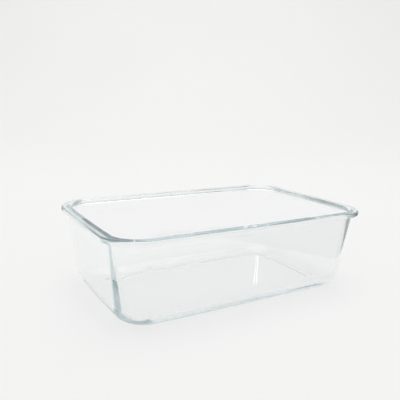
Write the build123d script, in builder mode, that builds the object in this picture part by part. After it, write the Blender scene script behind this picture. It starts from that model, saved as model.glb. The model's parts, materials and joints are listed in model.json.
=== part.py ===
"""Rectangular clear glass lunch dish, pressed in one piece.

Frame: origin on the surface that the dish stands on, under its centre.
+X runs along the long side, +Y across the short side, +Z up. Millimetres.
"""
from build123d import *
import math
import os

os.makedirs("parts", exist_ok=True)

# ---------------------------------------------------------------- driving dimensions
rim_length = 230.0  # overall length, outer face of the rim to outer face
rim_width = 147.0  # overall width, outer face of the rim to outer face
dish_height = 69.0  # standing surface to the top of the rim
rim_corner_radius = 28.0  # plan radius of the rim's outer corners
end_bow = 2.0  # how far the short ends swell outwards at mid-width

rim_depth = 4.4  # height of the rim's outer face
rim_overhang = 4.2  # how far the rim stands out from the wall
rim_edge_radius = 1.7  # rounding of the rim's outer edges
rim_root_radius = 2.0  # fillet where the rim's underside meets the wall
lip_radius = 2.4  # rounding between the rim's top and the inner wall

wall_thickness = 4.0
base_thickness = 5.0
draft_angle = 6.4  # degrees that the walls lean out, so that the dish leaves its mould
wall_corner_radius = 24.0  # plan radius of the outer wall's corners, just under the rim
base_corner_radius = 23.0  # plan radius of the outer wall's corners, at the base
heel_radius = 15.5  # outer rounding between wall and base
inner_rim_corner_radius = 19.0  # plan radius of the food space's corners, at the rim
inner_base_corner_radius = 14.0  # plan radius of the food space's corners, at its floor
inner_heel_radius = 10.0  # rounding between the food space's walls and floor

foot_inset = 20.0  # from the foot of the wall to the recess under the base
recess_depth = 0.8  # how far the middle of the base is raised

# ---------------------------------------------------------------- derived dimensions
draft_slope = math.tan(math.radians(draft_angle))
rim_underside = dish_height - rim_depth
wall_top = dish_height - rim_edge_radius


def dish_outline(inset, corner_radius):
    """Plan outline of the dish, set in from the rim's outer face."""
    half_length = rim_length / 2 - inset
    half_width = rim_width / 2 - inset
    corner_x = half_length - end_bow
    with BuildSketch() as outline:
        with BuildLine():
            Line((-corner_x, -half_width), (corner_x, -half_width))
            ThreePointArc((corner_x, -half_width), (half_length, 0), (corner_x, half_width))
            Line((corner_x, half_width), (-corner_x, half_width))
            ThreePointArc((-corner_x, half_width), (-half_length, 0), (-corner_x, -half_width))
        make_face()
        fillet(outline.vertices(), radius=corner_radius)
    return outline.sketch


def wall_outline(height, depth_into_glass, low_radius, high_radius):
    """Plan outline of the wall at a height, with corners that widen from the base up to the rim."""
    inset = rim_overhang + draft_slope * (dish_height - height) + depth_into_glass
    corner_radius = low_radius + (high_radius - low_radius) * height / dish_height
    return dish_outline(inset, corner_radius)


def outer_outline(height):
    """Plan outline of the wall's outer face at a height."""
    return wall_outline(height, 0, base_corner_radius, wall_corner_radius)


def inner_outline(height):
    """Plan outline of the food space at a height."""
    return wall_outline(height, wall_thickness, inner_base_corner_radius, inner_rim_corner_radius)


# ---------------------------------------------------------------- food space
with BuildPart() as food_space:
    with BuildSketch(Plane.XY.offset(base_thickness)):
        add(inner_outline(base_thickness))
    with BuildSketch(Plane.XY.offset(dish_height)):
        add(inner_outline(dish_height))
    loft(ruled=True)
    fillet(food_space.edges().group_by(Axis.Z)[0], radius=inner_heel_radius)


# ---------------------------------------------------------------- glass dish
with BuildPart() as glass_dish:
    # Rim flange, standing out all round the top of the wall
    with BuildSketch(Plane.XY.offset(rim_underside)):
        add(dish_outline(0, rim_corner_radius))
    extrude(amount=rim_depth)
    fillet(glass_dish.edges().group_by(Axis.Z)[0], radius=rim_edge_radius)
    fillet(glass_dish.edges().group_by(Axis.Z)[-1], radius=rim_edge_radius)

    # Outer wall, leaning out from the base up into the rim
    with BuildSketch(Plane.XY):
        add(outer_outline(0))
    with BuildSketch(Plane.XY.offset(wall_top)):
        add(outer_outline(wall_top))
    loft(ruled=True)
    fillet(glass_dish.edges().filter_by(lambda edge: edge.is_interior), radius=rim_root_radius)
    fillet(glass_dish.edges().group_by(Axis.Z)[0], radius=heel_radius)

    # Hollow it out and round the inner lip
    add(food_space.part, mode=Mode.SUBTRACT)
    rim_top = glass_dish.faces().sort_by(Axis.Z)[-1]
    fillet(rim_top.inner_wires().edges(), radius=lip_radius)

    # Shallow recess under the base, which leaves a ring to stand on
    with BuildSketch(Plane.XY):
        add(wall_outline(0, foot_inset, inner_base_corner_radius, inner_rim_corner_radius))
    extrude(amount=recess_depth, taper=45, mode=Mode.SUBTRACT)
glass_dish.part.label = "glass_dish"
export_step(glass_dish.part, "parts/glass_dish.step")
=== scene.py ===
import json
import math

import bpy
from mathutils import Matrix, Vector

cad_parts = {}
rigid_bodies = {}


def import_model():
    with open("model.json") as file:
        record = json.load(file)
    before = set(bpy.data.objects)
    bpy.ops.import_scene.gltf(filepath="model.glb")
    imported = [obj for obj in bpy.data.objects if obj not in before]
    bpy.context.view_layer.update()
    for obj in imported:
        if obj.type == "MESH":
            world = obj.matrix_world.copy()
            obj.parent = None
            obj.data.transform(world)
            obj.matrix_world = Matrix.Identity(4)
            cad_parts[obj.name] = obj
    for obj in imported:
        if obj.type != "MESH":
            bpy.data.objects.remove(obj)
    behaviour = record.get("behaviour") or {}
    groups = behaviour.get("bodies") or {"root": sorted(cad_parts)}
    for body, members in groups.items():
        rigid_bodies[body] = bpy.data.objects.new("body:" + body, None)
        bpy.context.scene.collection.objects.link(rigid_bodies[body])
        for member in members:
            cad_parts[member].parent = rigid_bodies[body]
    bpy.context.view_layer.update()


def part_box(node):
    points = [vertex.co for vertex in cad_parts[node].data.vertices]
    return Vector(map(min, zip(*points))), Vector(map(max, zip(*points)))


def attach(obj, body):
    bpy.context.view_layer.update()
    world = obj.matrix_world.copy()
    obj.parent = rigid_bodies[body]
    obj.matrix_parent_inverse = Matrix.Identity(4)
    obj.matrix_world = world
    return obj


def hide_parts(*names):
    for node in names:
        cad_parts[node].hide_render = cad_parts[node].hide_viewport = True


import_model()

# The dish's own sizes, in metres
MM = 0.001
HALF_LENGTH, HALF_WIDTH, DISH_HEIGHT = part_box("glass_dish")[1]
END_BOW = 2.0 * MM  # how far the short ends swell outwards at mid-width

RIM_CORNER = 28.0 * MM  # plan radius of the rim's outer corners
RIM_DEPTH = 4.4 * MM
RIM_OVERHANG = 4.2 * MM
RIM_EDGE = 1.7 * MM  # rounding of the rim's outer edges
RIM_ROOT = 2.0 * MM  # fillet where the rim's underside meets the wall
RIM_FALL = 0.15 * MM  # how far the rim's top falls to its outer edge
RIM_SLOPE = 0.4 * MM  # how far the rim's underside rises to the wall
LIP = 2.4 * MM  # rounding between the rim's top and the inner wall

WALL = 4.0 * MM
DRAFT = math.radians(6.4)  # how far the walls lean out
WALL_CORNER = 24.0 * MM  # plan radius of the outer wall's corners at the rim, and at the base
BASE_CORNER = 23.0 * MM
INNER_RIM_CORNER = 19.0 * MM  # plan radius of the food space's corners at the rim, and at the base
INNER_BASE_CORNER = 14.0 * MM
HEEL = 15.5 * MM  # outer rounding between wall and base
INNER_HEEL = 10.0 * MM  # rounding between the food space's walls and floor

BASE = 5.0 * MM
FOOT_INSET = 20.0 * MM  # from the foot of the wall to the recess under the base
FOOT_CROWN = 0.1 * MM  # how far the heel's edge stands off the surface below
RECESS = 0.8 * MM

# How finely the outlines are drawn, and the width that a full bevel weight stands for
CORNER_STEPS = 20
END_STEPS = 12
WIDEST_ROUNDING = 20.0 * MM
ROUNDING_STEPS = 12

# The paper sweep
SWEEP_WIDTH = 9.0
SWEEP_DEPTH = 5.0
SWEEP_RISE = 4.0
SWEEP_BEND = 1.5
SWEEP_TURN = math.radians(-29)
PAPER_GAP = 0.1 * MM  # keeps the paper clear of the foot

# Light caught in the rim is mirrored many times before it leaves
GLASS_BOUNCES = 90


# ---------------------------------------------------------------- mesh tools
def deselect_everything():
    """Goes to object mode with nothing selected."""
    if bpy.context.object and bpy.context.object.mode != "OBJECT":
        bpy.ops.object.mode_set(mode="OBJECT")
    bpy.ops.object.select_all(action="DESELECT")


def wall_shape(height, depth_into_glass, low_corner, high_corner):
    """Inset and corner radius of the wall at a height."""
    inset = RIM_OVERHANG + math.tan(DRAFT) * (DISH_HEIGHT - height) + depth_into_glass
    corner_radius = low_corner + (high_corner - low_corner) * height / DISH_HEIGHT
    return inset, corner_radius


def outer_wall(height):
    """Shape of the wall's outer face at a height."""
    return wall_shape(height, 0, BASE_CORNER, WALL_CORNER)


def inner_wall(height):
    """Shape of the wall's inner face at a height."""
    return wall_shape(height, WALL, INNER_BASE_CORNER, INNER_RIM_CORNER)


def under_base(depth_into_glass):
    """Shape of an outline under the base."""
    return wall_shape(0, depth_into_glass, INNER_BASE_CORNER, INNER_RIM_CORNER)


def trace_outline(name, shape, height):
    """Draws one outline of the dish and names it: straight long sides, bowed ends, round corners."""
    inset, corner_radius = shape
    half_length = HALF_LENGTH - inset
    half_width = HALF_WIDTH - inset
    end_radius = (half_width ** 2 + END_BOW ** 2) / (2 * END_BOW)
    corner_y = half_width - corner_radius
    bow_angle = math.asin(corner_y / (end_radius - corner_radius))
    corner_x = half_length - end_radius + math.cos(bow_angle) * (end_radius - corner_radius)
    bpy.ops.mesh.select_all(action="DESELECT")
    bpy.ops.mesh.primitive_plane_add(size=1 * MM, location=(-corner_x, -half_width, height))
    bpy.ops.mesh.merge(type="CENTER")
    for side in (1, -1):
        bpy.ops.mesh.extrude_region_move(TRANSFORM_OT_translate={"value": (side * 2 * corner_x, 0, 0)})
        for centre, angle, steps in (
            ((side * corner_x, -side * corner_y, height), math.pi / 2 - bow_angle, CORNER_STEPS),
            ((side * (half_length - end_radius), 0, height), 2 * bow_angle, END_STEPS),
            ((side * corner_x, side * corner_y, height), math.pi / 2 - bow_angle, CORNER_STEPS),
        ):
            bpy.ops.mesh.spin(steps=steps, angle=-angle, center=centre, axis=(0, 0, 1))
    bpy.ops.mesh.select_linked()
    bpy.ops.mesh.remove_doubles(threshold=0.01 * MM)
    bpy.ops.object.vertex_group_assign_new()
    bpy.context.object.vertex_groups[-1].name = name


def select_outlines(*names):
    """Selects the named outlines and nothing else."""
    bpy.ops.mesh.select_all(action="DESELECT")
    for name in names:
        bpy.ops.object.vertex_group_set_active(group=name)
        bpy.ops.object.vertex_group_select()


def weigh_outline(name, radius, turn):
    """Sets the rounding of a named outline, where the profile turns by an angle."""
    select_outlines(name)
    width = radius * math.tan(turn / 2)
    bpy.ops.transform.edge_bevelweight(value=width / WIDEST_ROUNDING)


# ---------------------------------------------------------------- glass dish
def make_dish():
    """Draws the dish outline by outline: under the base, up the outside, over the rim, down the inside."""
    deselect_everything()
    bpy.ops.mesh.primitive_plane_add(size=1 * MM)
    dish = bpy.context.object
    dish.name = "pressed_dish"
    bpy.ops.object.mode_set(mode="EDIT")
    bpy.ops.mesh.delete(type="VERT")
    rim_underside = DISH_HEIGHT - RIM_DEPTH
    rim = (0, RIM_CORNER)
    profile = (
        ("recess", under_base(FOOT_INSET + RECESS), RECESS),
        ("foot", under_base(FOOT_INSET), 0),
        ("heel", outer_wall(0), FOOT_CROWN),
        ("rim_root", outer_wall(rim_underside), rim_underside + RIM_SLOPE),
        ("rim_bottom", rim, rim_underside),
        ("rim_top", rim, DISH_HEIGHT - RIM_FALL),
        ("lip", inner_wall(DISH_HEIGHT), DISH_HEIGHT),
        ("inner_heel", inner_wall(BASE), BASE),
    )
    for station in profile:
        trace_outline(*station)
    names = [station[0] for station in profile]
    for lower, upper in zip(names, names[1:]):
        select_outlines(lower, upper)
        bpy.ops.mesh.bridge_edge_loops()
    for end in (names[0], names[-1]):
        select_outlines(end)
        bpy.ops.mesh.edge_face_add()
    bpy.ops.mesh.select_all(action="SELECT")
    bpy.ops.mesh.normals_make_consistent(inside=False)

    upright = math.pi / 2
    drafted = upright - DRAFT
    weigh_outline("heel", HEEL, drafted)
    weigh_outline("rim_root", RIM_ROOT, drafted)
    weigh_outline("rim_bottom", RIM_EDGE, upright)
    weigh_outline("rim_top", RIM_EDGE, upright)
    weigh_outline("lip", LIP, drafted)
    weigh_outline("inner_heel", INNER_HEEL, drafted)
    bpy.ops.object.mode_set(mode="OBJECT")
    rounding = dish.modifiers.new("rounding", "BEVEL")
    rounding.limit_method = "WEIGHT"
    rounding.offset_type = "OFFSET"
    rounding.width = WIDEST_ROUNDING
    rounding.segments = ROUNDING_STEPS
    rounding.use_clamp_overlap = False
    bpy.ops.object.modifier_apply(modifier="rounding")
    bpy.ops.object.shade_smooth()
    flats = dish.modifiers.new("flats", "WEIGHTED_NORMAL")
    flats.weight = 50
    bpy.ops.object.modifier_apply(modifier="flats")
    return dish


# ---------------------------------------------------------------- materials
class Socket:
    """A node's output, with arithmetic that adds Math nodes."""

    def __init__(self, maker, output):
        self.maker = maker
        self.output = output

    def _math(self, operation, first, second):
        return self.maker.node("ShaderNodeMath", {"operation": operation}, {0: first, 1: second})

    def __add__(self, other):
        return self._math("ADD", self, other)

    __radd__ = __add__

    def __mul__(self, other):
        return self._math("MULTIPLY", self, other)

    __rmul__ = __mul__

    def __sub__(self, other):
        return self._math("SUBTRACT", self, other)

    def __rsub__(self, other):
        return self._math("SUBTRACT", other, self)


class Maker:
    """A new material, and the one way its nodes are made."""

    def __init__(self, name):
        self.material = bpy.data.materials.new(name)
        self.material.use_nodes = True
        self.tree = self.material.node_tree
        self.tree.nodes.clear()

    def node(self, kind, settings=None, sockets=None, output=0):
        """Makes a node of a type: its settings first, then the values or links of its sockets."""
        made = self.tree.nodes.new(kind)
        for name, value in (settings or {}).items():
            setattr(made, name, value)
        for name, value in (sockets or {}).items():
            if isinstance(value, Socket):
                self.tree.links.new(value.output, made.inputs[name])
            else:
                made.inputs[name].default_value = value
        return Socket(self, made.outputs[output]) if made.outputs else None


def pressed_glass():
    """Clear glass with a blue-green depth, and the faint waves that pressing leaves.

    Rays from lamps and diffuse rays pass straight through it, dimmed where they graze it.
    """
    make = Maker("pressed_glass")
    place = make.node("ShaderNodeTexCoord", output="Object")
    waves = make.node(
        "ShaderNodeTexNoise",
        {},
        {"Vector": place, "Scale": 22.0, "Detail": 1.0, "Roughness": 0.4},
    )
    ripples = make.node(
        "ShaderNodeTexNoise",
        {},
        {"Vector": place, "Scale": 90.0, "Detail": 2.0, "Roughness": 0.5},
    )
    height = waves + 0.15 * ripples
    uneven = make.node("ShaderNodeBump", {}, {"Strength": 0.05, "Distance": 0.6 * MM, "Height": height})
    polish = 0.004 + 0.012 * ripples
    glass = make.node(
        "ShaderNodeBsdfPrincipled",
        {},
        {
            "Base Color": (0.993, 0.998, 0.997, 1),
            "Roughness": polish,
            "IOR": 1.5,
            "Transmission Weight": 1.0,
            "Normal": uneven,
        },
    )
    shadow = make.node("ShaderNodeLightPath", output="Is Shadow Ray")
    diffuse = make.node("ShaderNodeLightPath", output="Is Diffuse Ray")
    slant = make.node("ShaderNodeLayerWeight", {}, {"Blend": 0.5}, output="Facing")
    thinning = make.node(
        "ShaderNodeMix",
        {"data_type": "RGBA"},
        {"Factor": slant * slant * slant, "A": (0.995, 0.997, 0.995, 1), "B": (0.80, 0.81, 0.805, 1)},
        output=2,
    )
    clear = make.node("ShaderNodeBsdfTransparent", {}, {"Color": thinning})
    surface = make.node("ShaderNodeMixShader", {}, {0: shadow + diffuse, 1: glass, 2: clear})
    depth = make.node("ShaderNodeVolumeAbsorption", {}, {"Color": (0.74, 0.813, 0.831, 1), "Density": 10.0})
    make.node("ShaderNodeOutputMaterial", {}, {"Surface": surface, "Volume": depth})
    return make.material


def studio_paper():
    """Matt near-white background paper."""
    make = Maker("studio_paper")
    place = make.node("ShaderNodeTexCoord", output="Object")
    tooth = make.node("ShaderNodeTexNoise", {}, {"Vector": place, "Scale": 3.0, "Detail": 2.0})
    tint = make.node(
        "ShaderNodeMix",
        {"data_type": "RGBA"},
        {"Factor": tooth, "A": (0.85, 0.85, 0.845, 1), "B": (0.87, 0.87, 0.865, 1)},
        output=2,
    )
    paper = make.node("ShaderNodeBsdfPrincipled", {}, {"Base Color": tint, "Roughness": 0.9})
    make.node("ShaderNodeOutputMaterial", {}, {"Surface": paper})
    return make.material


# ---------------------------------------------------------------- studio
def select_back_edge(sweep):
    """Selects the floor's back edge, where the sweep turns up."""
    bpy.ops.mesh.select_all(action="DESELECT")
    bpy.ops.object.mode_set(mode="OBJECT")
    corners = sweep.data.vertices
    for edge in sweep.data.edges:
        ends = [corners[index].co for index in edge.vertices]
        edge.select = all(end.y > 0 and end.z < SWEEP_RISE / 2 for end in ends)
    bpy.ops.object.mode_set(mode="EDIT")


def make_sweep():
    """A paper sweep: a floor that curves up into a wall behind the dish."""
    deselect_everything()
    bpy.ops.mesh.primitive_plane_add(size=1)
    sweep = bpy.context.object
    sweep.name = "paper_sweep"
    bpy.ops.object.mode_set(mode="EDIT")
    bpy.ops.transform.resize(value=(SWEEP_WIDTH, SWEEP_DEPTH, 1))
    select_back_edge(sweep)
    bpy.ops.mesh.extrude_region_move(TRANSFORM_OT_translate={"value": (0, 0, SWEEP_RISE)})
    select_back_edge(sweep)
    bpy.ops.mesh.bevel(offset=SWEEP_BEND, segments=24, profile=0.5)
    bpy.ops.object.mode_set(mode="OBJECT")
    bpy.ops.object.shade_smooth()
    sweep.rotation_euler.z = SWEEP_TURN
    sweep.location.z = -PAPER_GAP
    bpy.ops.object.transform_apply(location=True, rotation=True)
    sweep.data.materials.append(studio_paper())


def grey_felt():
    """Grey felt, for a card that puts a dark edge on the glass."""
    make = Maker("grey_felt")
    place = make.node("ShaderNodeTexCoord", output="Object")
    nap = make.node("ShaderNodeTexNoise", {}, {"Vector": place, "Scale": 40.0, "Detail": 2.0})
    tint = make.node(
        "ShaderNodeMix",
        {"data_type": "RGBA"},
        {"Factor": nap, "A": (0.33, 0.35, 0.36, 1), "B": (0.35, 0.37, 0.38, 1)},
        output=2,
    )
    felt = make.node("ShaderNodeBsdfPrincipled", {}, {"Base Color": tint, "Roughness": 1.0})
    make.node("ShaderNodeOutputMaterial", {}, {"Surface": felt})
    return make.material


def make_card(name, place, size, turn):
    """A grey card lying flat beside the dish. Only the glass shows it, and it throws no shadow."""
    deselect_everything()
    bpy.ops.mesh.primitive_plane_add(size=1, location=place, rotation=(0, 0, turn))
    card = bpy.context.object
    card.name = name
    card.scale = (size[0], size[1], 1)
    bpy.ops.object.transform_apply(location=False, rotation=True, scale=True)
    card.visible_camera = False
    card.visible_diffuse = False
    card.visible_shadow = False
    card.data.materials.append(grey_felt())


def add_softbox(name, place, size, power, target):
    """A rectangular light that faces a target."""
    lamp = bpy.data.lights.new(name, "AREA")
    lamp.shape = "RECTANGLE"
    lamp.size = size[0]
    lamp.size_y = size[1]
    lamp.energy = power
    light = bpy.data.objects.new(name, lamp)
    bpy.context.scene.collection.objects.link(light)
    light.location = place
    light.rotation_euler = (Vector(target) - Vector(place)).to_track_quat("-Z", "Y").to_euler()


def make_camera():
    """A camera at the front left of the dish, above its rim, looking slightly down."""
    turn = math.radians(-30.42)
    tilt = math.radians(-11.91)
    roll = math.radians(1.38)
    lens = bpy.data.cameras.new("camera")
    lens.sensor_width = 36
    lens.lens = 43.7
    camera = bpy.data.objects.new("camera", lens)
    bpy.context.scene.collection.objects.link(camera)
    camera.matrix_world = (
        Matrix.Translation((-0.2125, -0.3428, 0.1587))
        @ Matrix.Rotation(turn, 4, "Z")
        @ Matrix.Rotation(math.pi / 2 + tilt, 4, "X")
        @ Matrix.Rotation(roll, 4, "Z")
    )
    bpy.context.scene.camera = camera


def make_world():
    """Even pale light from all round."""
    world = bpy.data.worlds.new("studio")
    world.use_nodes = True
    background = world.node_tree.nodes["Background"]
    background.inputs["Color"].default_value = (0.985, 0.985, 0.985, 1)
    background.inputs["Strength"].default_value = 0.80
    bpy.context.scene.world = world


def light_studio():
    """Soft light from above and on the backdrop, and two strips that the dish's floor mirrors."""
    dish_middle = (0, 0, 0.03)
    dish_floor = (0.04, -0.01, 0.005)
    backdrop = (1.3, 2.3, 1.7)
    add_softbox("overhead", (0.1, 0.15, 2.2), (2.4, 1.8), 16, dish_middle)
    add_softbox("strip_left", (1.221, 1.605, 0.745), (0.018, 0.15), 0.01, dish_floor)
    add_softbox("strip_right", (1.258, 1.576, 0.745), (0.024, 0.15), 0.011, dish_floor)
    add_softbox("backdrop_light", (0.5, 0.9, 2.8), (2.4, 0.8), 8, backdrop)


def set_up_render():
    """Plain tones and enough bounces for thick glass. Caustics are off, so diffuse rays pass the glass."""
    scene = bpy.context.scene
    scene.view_settings.view_transform = "Standard"
    scene.cycles.max_bounces = GLASS_BOUNCES
    scene.cycles.transmission_bounces = GLASS_BOUNCES
    scene.cycles.glossy_bounces = GLASS_BOUNCES
    scene.cycles.caustics_reflective = False
    scene.cycles.caustics_refractive = False


dish = make_dish()
dish.data.materials.append(pressed_glass())
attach(dish, "root")
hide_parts("glass_dish")

make_sweep()
make_card("card_flat", (0.345, -0.075, 0.0005), (0.6, 0.22), math.radians(37))
make_world()
light_studio()
make_camera()
set_up_render()
